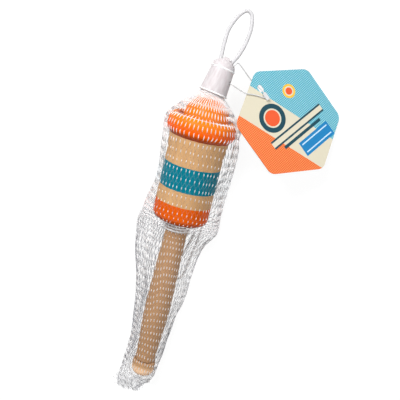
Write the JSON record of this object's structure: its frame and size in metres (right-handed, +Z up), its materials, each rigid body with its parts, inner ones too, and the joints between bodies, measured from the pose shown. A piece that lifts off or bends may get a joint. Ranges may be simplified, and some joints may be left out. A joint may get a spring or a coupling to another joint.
{
  "type": "cup and ball game",
  "caption": "Wooden cup and ball game with a turned handle and a ball on a string, packed in a net bag with a moulded header, hanging loop and hexagonal card tag.",
  "frame": {"origin": "on the surface the packed toy lies on, straight below the middle of the cup's rolled rim", "axes": "+Z up, +Y along the toy from the handle towards the hanging loop, +X to the side the tag lies on"},
  "size_m": [0.1125, 0.2724, 0.0462],
  "materials": {
    "painted_wood": "gloss paint bands over lacquered bare wood",
    "handle_wood": "clear satin lacquer",
    "ball_wood": "gloss paint",
    "string": "braided cotton",
    "net": "knitted clear and white polythene net",
    "header": "milky translucent moulding",
    "loop": "soft white moulding",
    "card": "printed card, satin",
    "fastener": "clear nylon"
  },
  "bodies": {
    "pack": {"cup": "painted_wood", "handle": "handle_wood", "string": "string", "neck_tie": "string", "net_bag": "net", "header_cap": "header", "header_plug": "header", "hanging_loop": "loop"},
    "ball": {"ball": "ball_wood", "ball_knot": "string"},
    "hang_tag": {"tag": "card", "tag_loop": "fastener"}
  },
  "joints": [
    {"name": "tag_swing", "type": "hinge", "parent": "pack", "child": "hang_tag", "pos_m": [0.00974, 0.03662, 0.0261], "axis": [0.0632, -0.9944, 0.0852], "range_deg": [0, 18]},
    {"name": "ball_twist", "type": "hinge", "parent": "pack", "child": "ball", "pos_m": [0.00119, 0.00711, 0.02262], "axis": [0.8837, 0.2342, 0.4052], "continuous": true}
  ]
}
